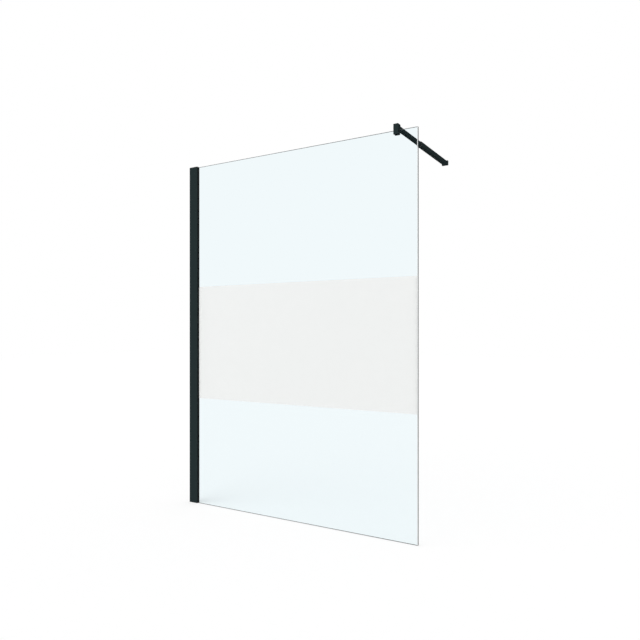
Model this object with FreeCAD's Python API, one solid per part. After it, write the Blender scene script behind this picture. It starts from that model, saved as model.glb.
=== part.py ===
import FreeCAD, Part
import math
import os

# A fixed walk-in shower screen: a glass pane held in an adjustable wall profile
# and steadied by a telescopic bar. Sizes are in millimetres.
# X runs along the glass away from its wall, Y from the glass to the far wall, Z up.
# The origin is on the wall face, in the middle of the glass's thickness, at the foot of the screen.

Vector = FreeCAD.Vector

# Glass pane
screen_width = 1407.0  # from the wall face to the free edge of the glass
screen_height = 1950.0  # from the bottom edge to the top edge of the glass
glass_thickness = 8.0
glass_arris = 1.5  # the ground-off edge all round
glass_corner_radius = 3.0  # the two corners of the free edge

# Frosted band, a satin layer on the outer face
band_bottom = 610.0
band_height = 645.0
band_thickness = 0.2
band_wall_border = 9.0  # clear glass between the channel and the band
band_free_border = 2.0  # clear glass between the band and the ground edge

# Width adjustment of the glass channel on the wall post
adjust_in = 1.0
adjust_out = 16.0
adjust_stop = 0.5  # what is left before the channel meets the wall
slide_clearance = 0.3

# Wall post, a plain U-channel
post_depth = 20.0  # across the glass
post_wall = 1.6
post_top_gap = 6.0  # below the plug of the top cap
wall_hole_diameter = 5.5
wall_hole_count = 4
wall_hole_end_distance = 150.0

# Glass channel, the visible extrusion
channel_width = 57.5  # along the glass
channel_wall = 1.6
channel_web = 1.8
channel_corner_radius = 1.0
pocket_depth = 17.0
lip_reach = 3.2
lip_thickness = 1.6

# Glazing gaskets and setting blocks
gasket_depth = 12.0
gasket_head = 1.6
gasket_lap = 0.8  # how far the head covers the lip
gasket_tip = 1.6
gasket_taper = 4.0
block_thickness = 3.0
block_length = 80.0
block_count = 3
block_end_distance = 140.0

# Top end cap
cap_thickness = 4.0
cap_edge_radius = 0.8
cap_plug_depth = 12.0
cap_plug_wall = 1.8
cap_clearance = 0.1

# Screws that lock the glass channel on the post, on the shower side
lock_count = 3
lock_end_distance = 80.0
lock_diameter = 4.0
lock_head_diameter = 7.0
lock_head_height = 2.2
lock_nut_width = 7.0
lock_nut_thickness = 2.6
lock_nut_gap = 0.2
lock_tip = 0.8  # what stands out of the nut
lock_cap_diameter = 10.0
lock_cap_height = 3.4
lock_cap_bevel = 1.0  # round the top

# Fits shared by all screws
hole_clearance = 0.15
thread_clearance = 0.05
socket_depth_share = 0.4  # key socket depth against screw diameter
socket_width_share = 0.5  # key socket across flats against screw diameter
screw_chamfer = 0.4

# Clamp on the top edge of the glass
clamp_from_free_edge = 108.0  # to the middle of the clamp
clamp_width = 25.0
clamp_grip = 20.0  # down over the glass
clamp_head = 29.5  # up above the glass
clamp_front_leg = 8.0
clamp_rear_leg = 10.0
clamp_chamfer = 0.8  # round the top and bottom
clamp_corner_radius = 1.5  # along the upright edges
clamp_play = 0.1  # between the liner and the glass
liner_thickness = 1.5
liner_inset = 0.5
plate_width = 17.0
plate_height = 15.0
plate_thickness = 2.0
plate_stand_out = 1.0  # what stands out of its pocket
plate_play = 0.4  # behind the plate
plate_clearance = 0.2  # round the plate
grub_diameter = 5.0
grub_spacing = 8.0
grub_recess = 0.6
tube_socket_depth = 20.0
tube_clearance = 0.1

# Telescopic bar
bar_above_glass = 15.5  # middle of the bar above the top edge of the glass
bar_span = 712.0  # from the middle of the glass to the far wall
bar_shorten = 30.0  # how far the bar can be pushed in
bar_extend = 330.0  # how far it can be drawn out
bar_stop_gap = 3.0  # what is left at the boss when it is pushed in
bar_pull_gap = 3.5  # what is left at the guide bush when it is drawn out
inner_side = 19.0
inner_wall = 1.5
outer_side = 24.0
outer_wall = 1.5
tube_corner_radius = 2.0
bore_corner_radius = 0.5
running_clearance = 0.1
bush_collar = 2.5
bush_depth = 16.0
bush_fit = 0.05
glide_head = 4.0
glide_spigot = 15.0
lock_screw_stand_out = 0.6

# Wall boss and its cover
boss_base_width = 33.0
boss_base_height = 24.0
boss_base_thickness = 3.0
boss_plug = 25.0
boss_fit = 0.05
boss_hole_diameter = 5.5
boss_counterbore_diameter = 11.0
boss_seat = 8.0  # material under the screw head
boss_screw_depth = 3.4
rose_width = 36.0
rose_height = 27.0
rose_depth = 10.0
rose_wall = 1.4
rose_chamfer = 1.0
rose_clearance = 0.1

# Places that follow from the sizes above
glass_half = glass_thickness / 2
channel_inner = post_depth / 2 + slide_clearance
channel_half = channel_inner + channel_wall
channel_back = adjust_in + adjust_stop
channel_nose = channel_back + channel_width
web_front = channel_nose - pocket_depth
web_back = web_front - channel_web
post_reach = web_back - adjust_in - adjust_stop
post_inner = post_depth / 2 - post_wall
post_top = screen_height - cap_plug_depth - post_top_gap
glass_back = web_front + block_thickness
lock_x = (post_wall + post_reach - adjust_out + adjust_in) / 2
clamp_x = screen_width - clamp_from_free_edge
clamp_bottom = screen_height - clamp_grip
clamp_top = screen_height + clamp_head
liner_inner = glass_half + clamp_play
liner_outer = liner_inner + liner_thickness
slot_rear = liner_outer + plate_stand_out
plate_rear = liner_outer + plate_thickness
clamp_front = -liner_outer - clamp_front_leg
clamp_rear = slot_rear + clamp_rear_leg
slot_roof = screen_height + clamp_play + liner_thickness
bar_z = screen_height + bar_above_glass
inner_start = clamp_rear - tube_socket_depth
outer_end = bar_span - boss_base_thickness
outer_bore = outer_side - 2 * outer_wall
boss_tip = outer_end - boss_plug
inner_end = boss_tip - bar_shorten - bar_stop_gap - glide_head
outer_start = inner_end - bar_extend - bar_pull_gap - bush_depth
bush_face = outer_start - bush_collar


def spread(count, end_distance, height):
    """Heights of evenly spaced copies, the first and last at the end distance."""
    step = (height - 2 * end_distance) / (count - 1)
    return [end_distance + step * number for number in range(count)]


def block(x_start, x_end, y_start, y_end, z_start, z_end):
    """A plain block between two corners."""
    corner = Vector(x_start, y_start, z_start)
    return Part.makeBox(x_end - x_start, y_end - y_start, z_end - z_start, corner)


def upright(points, z_start, z_end):
    """A straight-sided section drawn in plan and extruded upwards."""
    corners = [Vector(x, y, z_start) for x, y in points]
    outline = Part.makePolygon(corners + corners[:1])
    return Part.Face(outline).extrude(Vector(0, 0, z_end - z_start))


def edges_along(shape, direction):
    """The straight edges of a shape that lie along one direction."""
    found = []
    for edge in shape.Edges:
        if edge.Curve.TypeId == "Part::GeomLine" and abs(edge.Curve.Direction.dot(direction)) > 0.999:
            found.append(edge)
    return found


def edges_at(shape, x=None, y=None, z=None):
    """The edges whose middle lies on all the planes given."""
    found = []
    for edge in shape.Edges:
        middle = edge.CenterOfMass
        wanted = ((x, middle.x), (y, middle.y), (z, middle.z))
        if all(value is None or abs(value - place) < 1e-4 for value, place in wanted):
            found.append(edge)
    return found


def rounded_bar(width, height, radius, y_start, y_end):
    """A bar with rounded corners, on the axis of the telescopic bar."""
    left = clamp_x - width / 2
    bottom = bar_z - height / 2
    bar = block(left, left + width, y_start, y_end, bottom, bottom + height)
    return bar.makeFillet(radius, edges_along(bar, Vector(0, 1, 0)))


def square_bar(side, radius, y_start, y_end):
    """The same with equal sides."""
    return rounded_bar(side, side, radius, y_start, y_end)


def hole_along_y(diameter, x, z, y_start, y_end):
    """A round hole or shank along Y."""
    return Part.makeCylinder(diameter / 2, y_end - y_start, Vector(x, y_start, z), Vector(0, 1, 0))


def hole_along_z(diameter, x, y, z_start, z_end):
    """A round hole or shank along Z."""
    return Part.makeCylinder(diameter / 2, z_end - z_start, Vector(x, y, z_start), Vector(0, 0, 1))


def key_socket(diameter):
    """The hexagonal socket in a screw of this diameter, opening at Z = 0 and going down."""
    radius = diameter * socket_width_share / 2 / math.cos(math.radians(30))
    turns = [math.radians(60 * corner) for corner in range(6)]
    corners = [(radius * math.cos(turn), radius * math.sin(turn)) for turn in turns]
    return upright(corners, -diameter * socket_depth_share, 0)


def set_screw(diameter, length):
    """A headless screw along Z, with its key socket at Z = 0 and its tip below."""
    shank = Part.makeCylinder(diameter / 2, length, Vector(0, 0, -length))
    tip = edges_at(shank, z=-length)
    top = edges_at(shank, z=0)
    return shank.makeChamfer(screw_chamfer, tip + top).cut(key_socket(diameter))


def place(shape, turn_axis, degrees, position):
    """A copy of a shape drawn at the origin, turned and moved to its place."""
    placed = shape.copy()
    placed.rotate(Vector(0, 0, 0), turn_axis, degrees)
    placed.translate(position)
    return placed


def make_wall_post():
    """U-channel with its web on the wall, screw holes in the web and slots in the shower-side leg."""
    half = post_depth / 2
    post = upright(
        [
            (0, -half),
            (post_reach, -half),
            (post_reach, -post_inner),
            (post_wall, -post_inner),
            (post_wall, post_inner),
            (post_reach, post_inner),
            (post_reach, half),
            (0, half),
        ],
        0,
        post_top,
    )
    for height in spread(wall_hole_count, wall_hole_end_distance, screen_height):
        centre = Vector(-1, 0, height)
        post = post.cut(Part.makeCylinder(wall_hole_diameter / 2, post_wall + 2, centre, Vector(1, 0, 0)))
    slot_width = lock_diameter + 2 * hole_clearance
    first = lock_x - adjust_in
    last = lock_x + adjust_out
    for height in spread(lock_count, lock_end_distance, screen_height):
        for end in (first, last):
            post = post.cut(hole_along_y(slot_width, end, height, post_inner - 1, half + 1))
        middle = block(
            first, last, post_inner - 1, half + 1, height - slot_width / 2, height + slot_width / 2
        )
        post = post.cut(middle)
    return post.removeSplitter()


def make_glass_channel():
    """Extrusion with a chamber that slides over the post and, beyond a web, a lipped glass pocket."""
    lip = channel_inner - lip_reach
    lip_back = channel_nose - lip_thickness
    channel = upright(
        [
            (channel_back, -channel_half),
            (channel_nose, -channel_half),
            (channel_nose, -lip),
            (lip_back, -lip),
            (lip_back, -channel_inner),
            (web_front, -channel_inner),
            (web_front, channel_inner),
            (lip_back, channel_inner),
            (lip_back, lip),
            (channel_nose, lip),
            (channel_nose, channel_half),
            (channel_back, channel_half),
            (channel_back, channel_inner),
            (web_back, channel_inner),
            (web_back, -channel_inner),
            (channel_back, -channel_inner),
        ],
        0,
        screen_height,
    )
    outer_edges = []
    for side in (-channel_half, channel_half):
        outer_edges += edges_at(channel, x=channel_nose, y=side)
    channel = channel.makeFillet(channel_corner_radius, outer_edges)
    for height in spread(lock_count, lock_end_distance, screen_height):
        hole = hole_along_y(
            lock_diameter + 2 * hole_clearance, lock_x, height, channel_inner - 1, channel_half + 1
        )
        channel = channel.cut(hole)
    return channel


def make_top_end_cap():
    """Moulded cap: a plate over the whole profile and a hollow plug in the chamber behind the web."""
    top = screen_height + cap_thickness
    plate = block(channel_back, channel_nose, -channel_half, channel_half, screen_height, top)
    nose = edges_at(plate, x=channel_nose, y=-channel_half)
    nose += edges_at(plate, x=channel_nose, y=channel_half)
    plate = plate.makeFillet(channel_corner_radius, nose)
    plate = plate.makeFillet(cap_edge_radius, edges_at(plate, z=top))
    plug_half = channel_inner - cap_clearance
    plug_end = web_back - cap_clearance
    plug_bottom = screen_height - cap_plug_depth
    plug = block(channel_back, plug_end, -plug_half, plug_half, plug_bottom, screen_height)
    hollow = block(
        channel_back + cap_plug_wall,
        plug_end - cap_plug_wall,
        -plug_half + cap_plug_wall,
        plug_half - cap_plug_wall,
        plug_bottom,
        screen_height,
    )
    return plate.fuse(plug.cut(hollow)).removeSplitter()


def make_gasket(side):
    """Glazing strip on one side of the glass: a rounded head, a foot behind the lip and a tapered tip."""
    lip = channel_inner - lip_reach
    lip_back = channel_nose - lip_thickness
    tip = channel_nose - gasket_depth
    head_end = (channel_nose + gasket_head, glass_half)
    head_side = (channel_nose, lip + gasket_lap)
    bulge = (channel_nose + gasket_head * 0.8, glass_half + (lip + gasket_lap - glass_half) * 0.6)
    straight = [
        head_side,
        (channel_nose, lip),
        (lip_back, lip),
        (lip_back, channel_inner),
        (tip + gasket_taper, channel_inner),
        (tip, glass_half + gasket_tip),
        (tip, glass_half),
        head_end,
    ]
    corners = [Vector(x, side * y, 0) for x, y in straight]
    head = Part.Arc(Vector(head_end[0], side * head_end[1], 0),
                    Vector(bulge[0], side * bulge[1], 0),
                    Vector(head_side[0], side * head_side[1], 0))
    outline = Part.Wire([head.toShape()] + Part.makePolygon(corners).Edges)
    return Part.Face(outline).extrude(Vector(0, 0, screen_height))


def make_setting_blocks():
    """Packers between the web and the hidden edge of the glass."""
    blocks = []
    for height in spread(block_count, block_end_distance, screen_height):
        bottom = height - block_length / 2
        blocks.append(block(web_front, glass_back, -glass_half, glass_half, bottom, bottom + block_length))
    return Part.makeCompound(blocks)


def make_glass_pane():
    """The pane, with rounded free corners and an arris ground on every edge."""
    pane = block(glass_back, screen_width, -glass_half, glass_half, 0, screen_height)
    free_corners = edges_at(pane, x=screen_width, z=0) + edges_at(pane, x=screen_width, z=screen_height)
    pane = pane.makeFillet(glass_corner_radius, free_corners)
    return pane.makeChamfer(glass_arris, edges_at(pane, y=-glass_half) + edges_at(pane, y=glass_half))


def make_frosted_band():
    """The satin layer on the outer face, from beside the channel to just short of the free edge."""
    start = channel_nose + band_wall_border
    end = screen_width - glass_arris - band_free_border
    outside = -glass_half - band_thickness
    return block(start, end, outside, -glass_half, band_bottom, band_bottom + band_height)


def make_locking_screws():
    """Pan-head screws through the channel and the slots of the post."""
    length = channel_half - (post_inner - lock_nut_gap - lock_nut_thickness - lock_tip)
    shank = Part.makeCylinder(lock_diameter / 2, length, Vector(0, 0, -length))
    head = Part.makeCylinder(lock_head_diameter / 2, lock_head_height)
    head = head.makeChamfer(lock_head_height / 2, edges_at(head, z=lock_head_height))
    socket = key_socket(lock_diameter)
    socket.translate(Vector(0, 0, lock_head_height))
    screw = shank.fuse(head).cut(socket).removeSplitter()
    screws = []
    for height in spread(lock_count, lock_end_distance, screen_height):
        screws.append(place(screw, Vector(1, 0, 0), -90, Vector(lock_x, channel_half, height)))
    return Part.makeCompound(screws)


def make_locking_nuts():
    """Square nuts inside the post."""
    half = lock_nut_width / 2
    rear = post_inner - lock_nut_gap
    front = rear - lock_nut_thickness
    nuts = []
    for height in spread(lock_count, lock_end_distance, screen_height):
        nut = block(lock_x - half, lock_x + half, front, rear, height - half, height + half)
        hole = hole_along_y(lock_diameter + 2 * thread_clearance, lock_x, height, front - 1, rear + 1)
        nuts.append(nut.cut(hole))
    return Part.makeCompound(nuts)


def make_locking_screw_caps():
    """Low round covers with a bevelled rim, pushed over the screw heads."""
    cover = Part.makeCylinder(lock_cap_diameter / 2, lock_cap_height)
    cover = cover.makeChamfer(lock_cap_bevel, edges_at(cover, z=lock_cap_height))
    inside = Part.makeCylinder(lock_head_diameter / 2 + hole_clearance, lock_head_height + hole_clearance)
    cover = cover.cut(inside)
    covers = []
    for height in spread(lock_count, lock_end_distance, screen_height):
        covers.append(place(cover, Vector(1, 0, 0), -90, Vector(lock_x, channel_half, height)))
    return Part.makeCompound(covers)


def make_clamp_body():
    """Block with a slot for the glass below, a socket for the tube above and threaded holes."""
    half = clamp_width / 2
    body = block(clamp_x - half, clamp_x + half, clamp_front, clamp_rear, clamp_bottom, clamp_top)
    body = body.makeFillet(clamp_corner_radius, edges_along(body, Vector(0, 0, 1)))
    body = body.makeChamfer(clamp_chamfer, edges_at(body, z=clamp_bottom) + edges_at(body, z=clamp_top))
    slot = block(
        clamp_x - half - 1, clamp_x + half + 1, -liner_outer, slot_rear, clamp_bottom - 1, slot_roof
    )
    pocket_half = plate_width / 2 + plate_clearance
    pocket_height = plate_height / 2 + plate_clearance
    grip_middle = screen_height - clamp_grip / 2
    pocket = block(
        clamp_x - pocket_half,
        clamp_x + pocket_half,
        slot_rear - 1,
        plate_rear + plate_play,
        grip_middle - pocket_height,
        grip_middle + pocket_height,
    )
    tube_socket = square_bar(
        inner_side + 2 * tube_clearance, tube_corner_radius + tube_clearance, inner_start, clamp_rear + 1
    )
    body = body.cut(slot).cut(pocket).cut(tube_socket)
    thread = grub_diameter + 2 * thread_clearance
    for height in (grip_middle - grub_spacing / 2, grip_middle + grub_spacing / 2):
        body = body.cut(hole_along_y(thread, clamp_x, height, slot_rear, clamp_rear + 1))
    screw_y = clamp_rear - tube_socket_depth / 2
    return body.cut(hole_along_z(thread, clamp_x, screw_y, bar_z, clamp_top + 1))


def make_clamp_liner():
    """Rubber saddle over the top edge of the glass, inside the slot."""
    half = clamp_width / 2 - liner_inset
    bottom = clamp_bottom + liner_inset
    outside = block(clamp_x - half, clamp_x + half, -liner_outer, liner_outer, bottom, slot_roof)
    inside = block(
        clamp_x - half - 1,
        clamp_x + half + 1,
        -liner_inner,
        liner_inner,
        bottom - 1,
        screen_height + clamp_play,
    )
    return outside.cut(inside)


def make_clamp_pressure_plate():
    """Steel plate in its pocket, between the grub screws and the liner."""
    middle = screen_height - clamp_grip / 2
    plate = block(
        clamp_x - plate_width / 2,
        clamp_x + plate_width / 2,
        liner_outer,
        plate_rear,
        middle - plate_height / 2,
        middle + plate_height / 2,
    )
    return plate.makeFillet(plate_thickness / 2, edges_along(plate, Vector(0, 1, 0)))


def make_clamp_grub_screws():
    """The two headless screws that press the plate on the glass."""
    outer_end_of_screw = clamp_rear - grub_recess
    screw = set_screw(grub_diameter, outer_end_of_screw - plate_rear)
    middle = screen_height - clamp_grip / 2
    screws = []
    for height in (middle - grub_spacing / 2, middle + grub_spacing / 2):
        screws.append(place(screw, Vector(1, 0, 0), -90, Vector(clamp_x, outer_end_of_screw, height)))
    return Part.makeCompound(screws)


def make_tube_set_screw():
    """The headless screw from above that holds the inner tube in the clamp."""
    top = clamp_top - grub_recess
    screw = set_screw(grub_diameter, top - bar_z - inner_side / 2)
    return place(screw, Vector(1, 0, 0), 0, Vector(clamp_x, clamp_rear - tube_socket_depth / 2, top))


def make_inner_tube():
    """The thinner square tube, from its socket in the clamp to its glide in the outer tube."""
    bore = square_bar(inner_side - 2 * inner_wall, bore_corner_radius, inner_start - 1, inner_end + 1)
    return square_bar(inner_side, tube_corner_radius, inner_start, inner_end).cut(bore)


def make_inner_tube_glide():
    """Plastic plug in the end of the inner tube, with a head that runs in the outer tube."""
    head_side = outer_bore - 2 * running_clearance
    head = square_bar(head_side, tube_corner_radius, inner_end, inner_end + glide_head)
    spigot_side = inner_side - 2 * inner_wall - 2 * bush_fit
    spigot = square_bar(spigot_side, bore_corner_radius + bush_fit, inner_end - glide_spigot, inner_end)
    return head.fuse(spigot).removeSplitter()


def make_outer_tube():
    """The thicker square tube, from the guide bush to the wall boss."""
    bore = square_bar(outer_bore, bore_corner_radius, outer_start - 1, outer_end + 1)
    tube = square_bar(outer_side, tube_corner_radius, outer_start, outer_end).cut(bore)
    below = bar_z - outer_side / 2 - 1
    thread = grub_diameter + 2 * thread_clearance
    for y in (outer_start + bush_depth / 2, outer_end - boss_plug / 2):
        tube = tube.cut(hole_along_z(thread, clamp_x, y, below, bar_z - outer_bore / 2 + 1))
    return tube


def make_guide_bush():
    """Plastic sleeve in the mouth of the outer tube, with a collar flush with its outside."""
    collar = square_bar(outer_side, tube_corner_radius, bush_face, outer_start)
    collar_front = edges_at(collar, y=bush_face)
    collar = collar.makeChamfer(screw_chamfer, collar_front)
    sleeve = square_bar(
        outer_bore - 2 * bush_fit, bore_corner_radius + bush_fit, outer_start, outer_start + bush_depth
    )
    opening = square_bar(
        inner_side + 2 * running_clearance,
        tube_corner_radius + running_clearance,
        bush_face - 1,
        outer_start + bush_depth + 1,
    )
    bush = collar.fuse(sleeve).cut(opening)
    thread = grub_diameter + 2 * thread_clearance
    screw_hole = hole_along_z(
        thread, clamp_x, outer_start + bush_depth / 2, bar_z - outer_side / 2, bar_z
    )
    return bush.cut(screw_hole).removeSplitter()


def make_tube_lock_screw():
    """The headless screw from below that locks the bar at its length."""
    bottom = bar_z - outer_side / 2 - lock_screw_stand_out
    tip = bar_z - inner_side / 2 - running_clearance
    screw = set_screw(grub_diameter, tip - bottom)
    return place(screw, Vector(1, 0, 0), 180, Vector(clamp_x, outer_start + bush_depth / 2, bottom))


def make_wall_boss():
    """Block on the far wall: a wide base, a plug for the outer tube and a counterbored screw hole."""
    base = rounded_bar(boss_base_width, boss_base_height, tube_corner_radius, outer_end, bar_span)
    plug = square_bar(outer_bore - 2 * boss_fit, bore_corner_radius + boss_fit, boss_tip, outer_end)
    boss = base.fuse(plug).removeSplitter()
    boss = boss.cut(hole_along_y(boss_hole_diameter, clamp_x, bar_z, boss_tip - 1, bar_span + 1))
    boss = boss.cut(
        hole_along_y(boss_counterbore_diameter, clamp_x, bar_z, boss_tip - 1, bar_span - boss_seat)
    )
    plug_bottom = bar_z - outer_bore / 2
    thread = grub_diameter + 2 * thread_clearance
    screw_hole = hole_along_z(
        thread, clamp_x, outer_end - boss_plug / 2, plug_bottom - 1, plug_bottom + boss_screw_depth
    )
    return boss.cut(screw_hole)


def make_wall_rose():
    """Thin cover over the base of the boss, with a square opening for the outer tube."""
    front = bar_span - rose_depth
    cover = rounded_bar(rose_width, rose_height, tube_corner_radius, front, bar_span)
    cover = cover.makeChamfer(rose_chamfer, edges_at(cover, y=front))
    cavity = rounded_bar(
        boss_base_width + 2 * rose_clearance,
        boss_base_height + 2 * rose_clearance,
        tube_corner_radius,
        front + rose_wall,
        bar_span + 1,
    )
    opening = square_bar(
        outer_side + 2 * rose_clearance, tube_corner_radius + rose_clearance, front - 1, bar_span
    )
    return cover.cut(cavity).cut(opening)


def make_boss_set_screw():
    """The headless screw from below that holds the outer tube on the boss."""
    bottom = bar_z - outer_side / 2
    tip = bar_z - outer_bore / 2 + boss_screw_depth - thread_clearance
    screw = set_screw(grub_diameter, tip - bottom)
    return place(screw, Vector(1, 0, 0), 180, Vector(clamp_x, outer_end - boss_plug / 2, bottom))


pieces = {
    "wall_post": make_wall_post(),
    "glass_channel": make_glass_channel(),
    "top_end_cap": make_top_end_cap(),
    "front_gasket": make_gasket(-1),
    "rear_gasket": make_gasket(1),
    "setting_blocks": make_setting_blocks(),
    "glass_pane": make_glass_pane(),
    "frosted_band": make_frosted_band(),
    "locking_screws": make_locking_screws(),
    "locking_nuts": make_locking_nuts(),
    "locking_screw_caps": make_locking_screw_caps(),
    "clamp_body": make_clamp_body(),
    "clamp_liner": make_clamp_liner(),
    "clamp_pressure_plate": make_clamp_pressure_plate(),
    "clamp_grub_screws": make_clamp_grub_screws(),
    "tube_set_screw": make_tube_set_screw(),
    "inner_tube": make_inner_tube(),
    "inner_tube_glide": make_inner_tube_glide(),
    "outer_tube": make_outer_tube(),
    "guide_bush": make_guide_bush(),
    "tube_lock_screw": make_tube_lock_screw(),
    "wall_boss": make_wall_boss(),
    "wall_rose": make_wall_rose(),
    "boss_set_screw": make_boss_set_screw(),
}

os.makedirs("parts", exist_ok=True)
for name, shape in pieces.items():
    shape.exportStep("parts/" + name + ".step")
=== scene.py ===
import math

import bpy
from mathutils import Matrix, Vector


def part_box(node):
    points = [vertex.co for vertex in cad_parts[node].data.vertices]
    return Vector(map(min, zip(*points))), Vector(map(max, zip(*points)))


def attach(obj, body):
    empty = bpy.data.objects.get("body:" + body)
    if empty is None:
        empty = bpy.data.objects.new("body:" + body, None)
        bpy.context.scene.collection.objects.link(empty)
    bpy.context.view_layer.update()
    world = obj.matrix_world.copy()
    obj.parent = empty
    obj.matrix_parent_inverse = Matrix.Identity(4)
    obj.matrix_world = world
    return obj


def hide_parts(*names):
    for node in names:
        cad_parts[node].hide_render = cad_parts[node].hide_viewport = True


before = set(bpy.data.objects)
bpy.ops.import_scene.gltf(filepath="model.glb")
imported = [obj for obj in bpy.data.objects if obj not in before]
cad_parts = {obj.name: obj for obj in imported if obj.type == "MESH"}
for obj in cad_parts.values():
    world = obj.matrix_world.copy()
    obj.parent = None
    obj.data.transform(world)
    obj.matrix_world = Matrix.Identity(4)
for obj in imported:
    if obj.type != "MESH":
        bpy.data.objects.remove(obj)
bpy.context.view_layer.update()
bpy.ops.object.select_all(action="DESELECT")

# Wall post
# The U-shaped channel that is screwed to the wall, hidden once the glass channel is slid over it.
# An aluminium extrusion, cut to length, drilled, slotted and powder coated matt black with the rest.


def new_finish(name, shine):
    """A material with one shader; returns the material, its nodes' tree and the shader."""
    material = bpy.data.materials.new(name)
    material.use_nodes = True
    tree = material.node_tree
    shader = tree.nodes["Principled BSDF"]
    shader.inputs["Specular IOR Level"].default_value = shine
    return material, tree, shader


def grain(tree, spot_size, stretch=(1, 1, 1)):
    """A cloudy pattern fixed to the piece, with spots of this size in metres, longer if stretched."""
    place = tree.nodes.new("ShaderNodeTexCoord")
    scale = tree.nodes.new("ShaderNodeMapping")
    scale.inputs["Scale"].default_value = [1 / (spot_size * longer) for longer in stretch]
    noise = tree.nodes.new("ShaderNodeTexNoise")
    noise.inputs["Scale"].default_value = 1.0
    tree.links.new(place.outputs["Object"], scale.inputs["Vector"])
    tree.links.new(scale.outputs["Vector"], noise.inputs["Vector"])
    return noise.outputs["Fac"]


def vary_colour(tree, shader, pattern, dark, light):
    """Lets the colour, a shader's first input, drift between two shades along a pattern."""
    darkest_at = 0.35
    lightest_at = 0.65
    shades = tree.nodes.new("ShaderNodeValToRGB")
    shades.color_ramp.elements[0].position = darkest_at
    shades.color_ramp.elements[0].color = (*dark, 1)
    shades.color_ramp.elements[1].position = lightest_at
    shades.color_ramp.elements[1].color = (*light, 1)
    tree.links.new(pattern, shades.inputs["Fac"])
    tree.links.new(shades.outputs["Color"], shader.inputs[0])


def vary_roughness(tree, shader, pattern, smooth, rough):
    """Lets the roughness drift between two values along a pattern."""
    smoothest_at = 0.3
    roughest_at = 0.7
    drift = tree.nodes.new("ShaderNodeMapRange")
    drift.inputs["From Min"].default_value = smoothest_at
    drift.inputs["From Max"].default_value = roughest_at
    drift.inputs["To Min"].default_value = smooth
    drift.inputs["To Max"].default_value = rough
    tree.links.new(pattern, drift.inputs["Value"])
    tree.links.new(drift.outputs["Result"], shader.inputs["Roughness"])


def raise_grain(tree, shader, pattern, height, edge_radius):
    """Raises the pattern by this many metres and softens the sharp edges of the piece."""
    edges = tree.nodes.new("ShaderNodeBevel")
    edges.inputs["Radius"].default_value = edge_radius
    relief = tree.nodes.new("ShaderNodeBump")
    relief.inputs["Distance"].default_value = height
    tree.links.new(pattern, relief.inputs["Height"])
    tree.links.new(edges.outputs["Normal"], relief.inputs["Normal"])
    tree.links.new(relief.outputs["Normal"], shader.inputs["Normal"])


def grained_finish(
    name,
    dark,
    light,
    colour_spots,
    smooth,
    rough,
    polish_spots,
    grain_size,
    grain_height,
    edge_radius,
    shine,
    shine_tint=(1, 1, 1),
    metal=0.0,
    see_through=0.0,
    grain_stretch=(1, 1, 1),
):
    """A finish with drifting colour and polish and a fine raised grain; its sizes are in metres."""
    material, tree, shader = new_finish(name, shine)
    shader.inputs["Specular Tint"].default_value = (*shine_tint, 1)
    shader.inputs["Metallic"].default_value = metal
    shader.inputs["Transmission Weight"].default_value = see_through
    vary_colour(tree, shader, grain(tree, colour_spots), dark, light)
    vary_roughness(tree, shader, grain(tree, polish_spots), smooth, rough)
    raise_grain(tree, shader, grain(tree, grain_size, grain_stretch), grain_height, edge_radius)
    return material


def dress(material, *names):
    """Gives CAD nodes a finish."""
    for name in names:
        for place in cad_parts[name].material_slots:
            place.material = material


powder_coat = grained_finish(
    "black_powder_coat",
    dark=(0.0166, 0.0257, 0.0268),
    light=(0.0224, 0.0348, 0.0362),
    colour_spots=0.0008,
    smooth=0.74,
    rough=0.86,
    polish_spots=0.004,
    grain_size=0.0007,
    grain_height=0.00002,
    edge_radius=0.0005,
    shine=0.008,
    shine_tint=(0.78, 0.97, 1.0),
)
dress(powder_coat, "wall_post")

# Locking nuts
# Square stainless nuts in the hollow of the post, pulled against the slotted leg by the locking screws.
# Sawn from drawn bar and tapped, so they keep a plain, slightly scratched steel surface.

plain_steel = grained_finish(
    "stainless_steel",
    dark=(0.46, 0.46, 0.45),
    light=(0.60, 0.60, 0.59),
    colour_spots=0.003,
    smooth=0.22,
    rough=0.40,
    polish_spots=0.0008,
    grain_size=0.0003,
    grain_height=0.000008,
    edge_radius=0.0002,
    shine=0.5,
    metal=1.0,
)
dress(plain_steel, "locking_nuts")

# Glass channel
# The tall black profile at the wall, which slides on the post and holds the pane in its lipped pocket.
# One aluminium extrusion with a web between its two chambers, powder coated matt black.

dress(powder_coat, "glass_channel")

# Top end cap
# The thin cover that closes the top of the profile, pushed in by the plug on its underside.
# Moulded black plastic with the fine spark-eroded texture of its mould.

black_plastic = grained_finish(
    "black_plastic",
    dark=(0.006, 0.0085, 0.009),
    light=(0.010, 0.0125, 0.013),
    colour_spots=0.006,
    smooth=0.48,
    rough=0.62,
    polish_spots=0.002,
    grain_size=0.0004,
    grain_height=0.00002,
    edge_radius=0.0003,
    shine=0.25,
)
dress(black_plastic, "top_end_cap")

# Setting blocks
# The three packers between the hidden edge of the pane and the web of the channel.
# Cut from extruded strip of cloudy, slightly see-through plastic, softer than the glass.

cloudy_plastic = grained_finish(
    "clear_grey_plastic",
    dark=(0.46, 0.48, 0.48),
    light=(0.60, 0.61, 0.60),
    colour_spots=0.008,
    smooth=0.32,
    rough=0.48,
    polish_spots=0.003,
    grain_size=0.001,
    grain_height=0.00002,
    edge_radius=0.0002,
    shine=0.5,
    see_through=0.35,
)
dress(cloudy_plastic, "setting_blocks")

# Glass pane
# One sheet of clear toughened glass, 8 mm thick, with a faint blue-green cast when looked through.
# Painted shade darkens its matt ground edges, and a narrow light strip on both faces by the free edge
# is a painted highlight.

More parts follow.
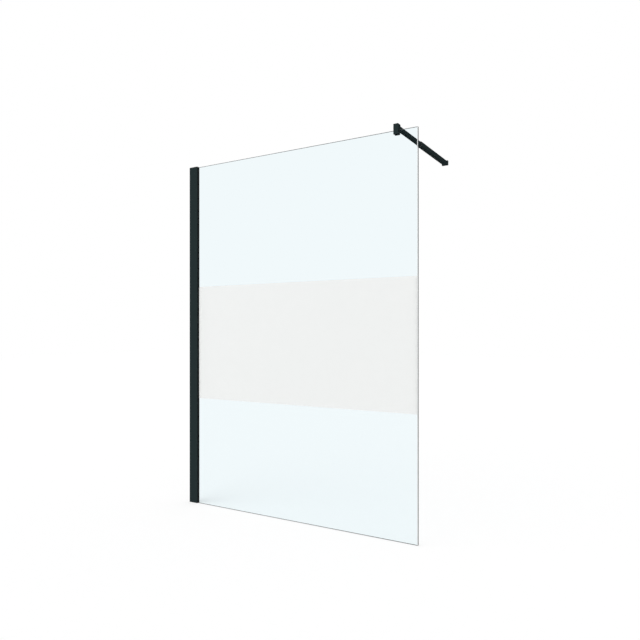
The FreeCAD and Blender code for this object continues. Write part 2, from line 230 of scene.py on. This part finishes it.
clear_tint = (0.938, 0.973, 0.983)
clear_glass = bpy.data.materials.new("clear_glass")
clear_glass.use_nodes = True
glass_tree = clear_glass.node_tree
glass_tree.nodes.remove(glass_tree.nodes["Principled BSDF"])
clear_shader = glass_tree.nodes.new("ShaderNodeBsdfRefraction")
clear_shader.inputs["Color"].default_value = (*clear_tint, 1)
clear_shader.inputs["Roughness"].default_value = 0.0
clear_shader.inputs["IOR"].default_value = 1.52

# The ground edges' dark grey is painted shade, for the light lost along the length of the sheet.
edge_shade_dark = (0.085, 0.093, 0.093)
edge_shade_light = (0.125, 0.136, 0.136)
edge_clouds = grain(glass_tree, spot_size=0.02)
edge_grain = grain(glass_tree, spot_size=0.0005)
shaded_edge_shader = glass_tree.nodes.new("ShaderNodeBsdfDiffuse")
vary_colour(glass_tree, shaded_edge_shader, edge_clouds, edge_shade_dark, edge_shade_light)
raise_grain(glass_tree, shaded_edge_shader, edge_grain, height=0.00001, edge_radius=0.0002)

# A light strip on both faces along the free edge: a painted highlight for the glint of the polished
# arris.
glint_width = 0.004
glint_dark = (0.92, 0.94, 0.94)
glint_light = (0.97, 0.98, 0.98)
glint_clouds = grain(glass_tree, spot_size=0.02)
glint_shader = glass_tree.nodes.new("ShaderNodeBsdfDiffuse")
vary_colour(glass_tree, glint_shader, glint_clouds, glint_dark, glint_light)

pane_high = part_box("glass_pane")[1]
pane_place = glass_tree.nodes.new("ShaderNodeTexCoord")
pane_axes = glass_tree.nodes.new("ShaderNodeSeparateXYZ")
off_middle = glass_tree.nodes.new("ShaderNodeMath")
off_middle.operation = "ABSOLUTE"
glass_tree.links.new(pane_place.outputs["Object"], pane_axes.inputs["Vector"])
glass_tree.links.new(pane_axes.outputs["Y"], off_middle.inputs[0])


def surface_below(distance, limit, above, below):
    """Shows one surface where a distance is below a limit, and another above it."""
    nearer = glass_tree.nodes.new("ShaderNodeMath")
    nearer.operation = "LESS_THAN"
    nearer.inputs[1].default_value = limit
    glass_tree.links.new(distance, nearer.inputs[0])
    either = glass_tree.nodes.new("ShaderNodeMixShader")
    glass_tree.links.new(nearer.outputs["Value"], either.inputs["Fac"])
    glass_tree.links.new(above, either.inputs[1])
    glass_tree.links.new(below, either.inputs[2])
    return either.outputs["Shader"]


passing_tint = (0.975, 0.985, 0.988)


def let_light_through(tree, surface):
    """Lets light pass straight through a clear piece, so that it casts hardly any shadow."""
    path = tree.nodes.new("ShaderNodeLightPath")
    passing = tree.nodes.new("ShaderNodeMath")
    passing.operation = "MAXIMUM"
    tree.links.new(path.outputs["Is Shadow Ray"], passing.inputs[0])
    tree.links.new(path.outputs["Is Diffuse Ray"], passing.inputs[1])
    see_through = tree.nodes.new("ShaderNodeBsdfTransparent")
    see_through.inputs["Color"].default_value = (*passing_tint, 1)
    either = tree.nodes.new("ShaderNodeMixShader")
    tree.links.new(passing.outputs["Value"], either.inputs["Fac"])
    tree.links.new(surface, either.inputs[1])
    tree.links.new(see_through.outputs["BSDF"], either.inputs[2])
    return either.outputs["Shader"]


# The faces are flat only to within rounding, so they are taken to reach this far into the glass.
face_depth = 0.00005
along = pane_axes.outputs["X"]
from_middle = off_middle.outputs["Value"]
painted_edge_shade = shaded_edge_shader.outputs["BSDF"]
painted_glint = glint_shader.outputs["BSDF"]
clear_faces = let_light_through(glass_tree, clear_shader.outputs["BSDF"])
faces = surface_below(along, pane_high.x - glint_width, above=painted_glint, below=clear_faces)
pane_surface = surface_below(from_middle, pane_high.y - face_depth, above=faces, below=painted_edge_shade)
glass_tree.links.new(pane_surface, glass_tree.nodes["Material Output"].inputs["Surface"])
dress(clear_glass, "glass_pane")

# Frosted band
# The satin band across the middle of the pane, for privacy, etched into the outer face of the glass.
# It is drawn as a very thin sheet just off the glass, milky and see-through only as a blur.

band_low, band_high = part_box("frosted_band")
band_gap = 0.0001
bpy.ops.mesh.primitive_plane_add(size=1, rotation=(math.radians(90), 0, 0))
frosted_band = bpy.context.object
frosted_band.name = "satin_band"
frosted_band.scale = (band_high.x - band_low.x, band_high.z - band_low.z, 1)
frosted_band.location = (
    (band_low.x + band_high.x) / 2,
    band_low.y,
    (band_low.z + band_high.z) / 2,
)
bpy.ops.object.transform_apply(location=True, rotation=True, scale=True)
bpy.ops.object.mode_set(mode="EDIT")
bpy.ops.mesh.select_all(action="SELECT")
bpy.ops.mesh.subdivide(number_cuts=3)
bpy.ops.mesh.extrude_region_move(
    TRANSFORM_OT_translate={"value": (0, band_high.y - band_low.y - band_gap, 0)}
)
bpy.ops.mesh.select_all(action="SELECT")
bpy.ops.mesh.normals_make_consistent(inside=False)
bpy.ops.object.mode_set(mode="OBJECT")

satin_dark = (0.956, 0.958, 0.946)
satin_light = (0.966, 0.968, 0.956)
scattered_share = 0.45
satin_glass, satin_tree, satin_shader = new_finish("frosted_glass", shine=0.3)
satin_clouds = grain(satin_tree, spot_size=0.05)
satin_polish = grain(satin_tree, spot_size=0.004)
satin_shader.inputs["IOR"].default_value = 1.45
satin_shader.inputs["Transmission Weight"].default_value = 0.15
vary_colour(satin_tree, satin_shader, satin_clouds, satin_dark, satin_light)
vary_roughness(satin_tree, satin_shader, satin_polish, smooth=0.56, rough=0.66)
light_scattered_on = satin_tree.nodes.new("ShaderNodeBsdfTranslucent")
light_scattered_on.inputs["Color"].default_value = (*satin_light, 1)
satin_mix = satin_tree.nodes.new("ShaderNodeMixShader")
satin_mix.inputs["Fac"].default_value = scattered_share
satin_tree.links.new(satin_shader.outputs["BSDF"], satin_mix.inputs[1])
satin_tree.links.new(light_scattered_on.outputs["BSDF"], satin_mix.inputs[2])
satin_surface = let_light_through(satin_tree, satin_mix.outputs["Shader"])
satin_tree.links.new(satin_surface, satin_tree.nodes["Material Output"].inputs["Surface"])
frosted_band.data.materials.append(satin_glass)
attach(frosted_band, "screen")
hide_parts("frosted_band")

# Glazing gaskets
# The two wedge strips pressed in between the pane and the lips of the channel, which grip the glass.
# Extruded soft black rubber, matt, with faint lines along their length from the die.

black_rubber = grained_finish(
    "black_rubber",
    dark=(0.006, 0.007, 0.0075),
    light=(0.011, 0.012, 0.0125),
    colour_spots=0.01,
    smooth=0.68,
    rough=0.82,
    polish_spots=0.002,
    grain_size=0.0006,
    grain_height=0.00002,
    edge_radius=0.0003,
    shine=0.2,
    grain_stretch=(1, 1, 100),
)
dress(black_rubber, "front_gasket", "rear_gasket")

# Locking screws
# Three pan-head screws on the shower side, which fix the channel on the post once the width is set.
# Stainless steel with a hexagonal key socket.

dress(plain_steel, "locking_screws")

# Locking screw covers
# The three small black covers that push over the heads of the locking screws.
# Moulded plastic with a bevelled rim and the same fine texture as the end cap.

dress(black_plastic, "locking_screw_caps")

# Clamp
# The black block near the free edge that straddles the top of the pane and carries the bar.
# Machined aluminium, powder coated, with a rubber saddle and a steel plate pressed on by two screws.

dress(powder_coat, "clamp_body")
dress(black_rubber, "clamp_liner")
dress(plain_steel, "clamp_pressure_plate")

# Key screws
# The headless screws of the clamp and the bar, sunk in their threads.
# Blackened steel with hexagonal sockets, a little oily.

black_steel = grained_finish(
    "black_steel",
    dark=(0.018, 0.018, 0.019),
    light=(0.035, 0.034, 0.034),
    colour_spots=0.002,
    smooth=0.3,
    rough=0.5,
    polish_spots=0.0007,
    grain_size=0.0003,
    grain_height=0.000006,
    edge_radius=0.0002,
    shine=0.5,
    metal=0.6,
)
dress(black_steel, "clamp_grub_screws", "tube_set_screw", "tube_lock_screw", "boss_set_screw")

# Telescopic bar
# The thinner tube, fixed in the clamp, runs in the thicker one and sets the distance to the far wall.
# Square aluminium tube, powder coated, with a plastic glide inside and a plastic bush in the mouth.

dress(powder_coat, "inner_tube", "outer_tube")
dress(black_plastic, "inner_tube_glide", "guide_bush")

# Wall end of the bar
# The boss is screwed to the far wall, the outer tube slips over it, and the rose hides its wide base.
# The boss is plain cast aluminium and the rose is pressed from sheet and powder coated.

cast_aluminium = grained_finish(
    "plain_aluminium",
    dark=(0.50, 0.50, 0.51),
    light=(0.64, 0.64, 0.65),
    colour_spots=0.004,
    smooth=0.42,
    rough=0.60,
    polish_spots=0.0015,
    grain_size=0.0006,
    grain_height=0.00003,
    edge_radius=0.0004,
    shine=0.5,
    metal=1.0,
)
dress(cast_aluminium, "wall_boss")
dress(powder_coat, "wall_rose")

# Floor and background
# A wide matt floor under the screen and a plain white room round it, as in a cut-out product picture.
# The floor glows enough to look white where nothing shades it, and keeps a faint shadow of the screen.


def seen_directly(tree):
    """1 for rays that show a surface by sight, mirror or glass, and 0 for rays that carry light."""
    path = tree.nodes.new("ShaderNodeLightPath")
    mirrored = tree.nodes.new("ShaderNodeMath")
    mirrored.operation = "MAXIMUM"
    tree.links.new(path.outputs["Is Camera Ray"], mirrored.inputs[0])
    tree.links.new(path.outputs["Is Glossy Ray"], mirrored.inputs[1])
    seen = tree.nodes.new("ShaderNodeMath")
    seen.operation = "MAXIMUM"
    tree.links.new(mirrored.outputs["Value"], seen.inputs[0])
    tree.links.new(path.outputs["Is Transmission Ray"], seen.inputs[1])
    return seen.outputs["Value"]


floor_size = 40.0
floor_place = (0.7, 0.4, -0.001)
floor_colour = (0.4, 0.4, 0.4)
floor_glow = 0.558
bpy.ops.mesh.primitive_plane_add(size=floor_size, location=floor_place)
floor = bpy.context.object
floor.name = "floor"
bpy.ops.object.transform_apply(location=True)
floor_finish, floor_tree, floor_shader = new_finish("pale_floor", shine=0.0)
floor_shader.inputs["Base Color"].default_value = (*floor_colour, 1)
floor_shader.inputs["Roughness"].default_value = 0.9
floor_shader.inputs["Emission Color"].default_value = (1, 1, 1, 1)
glow = floor_tree.nodes.new("ShaderNodeMath")
glow.operation = "MULTIPLY"
glow.inputs[1].default_value = floor_glow
floor_tree.links.new(seen_directly(floor_tree), glow.inputs[0])
floor_tree.links.new(glow.outputs["Value"], floor_shader.inputs["Emission Strength"])
floor.data.materials.append(floor_finish)

room_light = 0.72
room = bpy.data.worlds.new("white_room")
room.use_nodes = True
bpy.context.scene.world = room
room_tree = room.node_tree
even_light = room_tree.nodes["Background"]
even_light.inputs["Color"].default_value = (1, 1, 1, 1)
even_light.inputs["Strength"].default_value = room_light
white_backdrop = room_tree.nodes.new("ShaderNodeBackground")
white_backdrop.inputs["Color"].default_value = (1, 1, 1, 1)
white_backdrop.inputs["Strength"].default_value = 1.0
room_mix = room_tree.nodes.new("ShaderNodeMixShader")
room_tree.links.new(seen_directly(room_tree), room_mix.inputs["Fac"])
room_tree.links.new(even_light.outputs["Background"], room_mix.inputs[1])
room_tree.links.new(white_backdrop.outputs["Background"], room_mix.inputs[2])
room_tree.links.new(room_mix.outputs["Shader"], room_tree.nodes["World Output"].inputs["Surface"])

# Studio light
# One very wide soft light from the front left and above, beside the even light of the white room.
# It is even over the whole floor, wide enough to keep the shadow faint, and hidden from the glass.

light_from_left = math.radians(25)
light_height = math.radians(42)
light_width = math.radians(60)
light_strength = 1.85
overhead = math.radians(90)
bpy.ops.object.light_add(type="SUN", rotation=(overhead - light_height, 0, -light_from_left))
main_light = bpy.context.object
main_light.name = "main_light"
main_light.data.angle = light_width
main_light.data.energy = light_strength
main_light.visible_transmission = False

# Camera
# Level with the middle of the pane and to the right of its free edge, with a slight lens shift.

camera_place = (2.413, -2.635, 0.995)
camera_level = math.radians(90)
camera_turn = math.radians(31.19)
bpy.ops.object.camera_add(location=camera_place, rotation=(camera_level, 0, camera_turn))
camera = bpy.context.object
camera.name = "camera"
camera.data.sensor_width = 36.0
camera.data.lens = 33.56
camera.data.shift_x = 0.0156
camera.data.shift_y = 0.0183
bpy.context.scene.camera = camera
bpy.context.scene.view_settings.view_transform = "Standard"
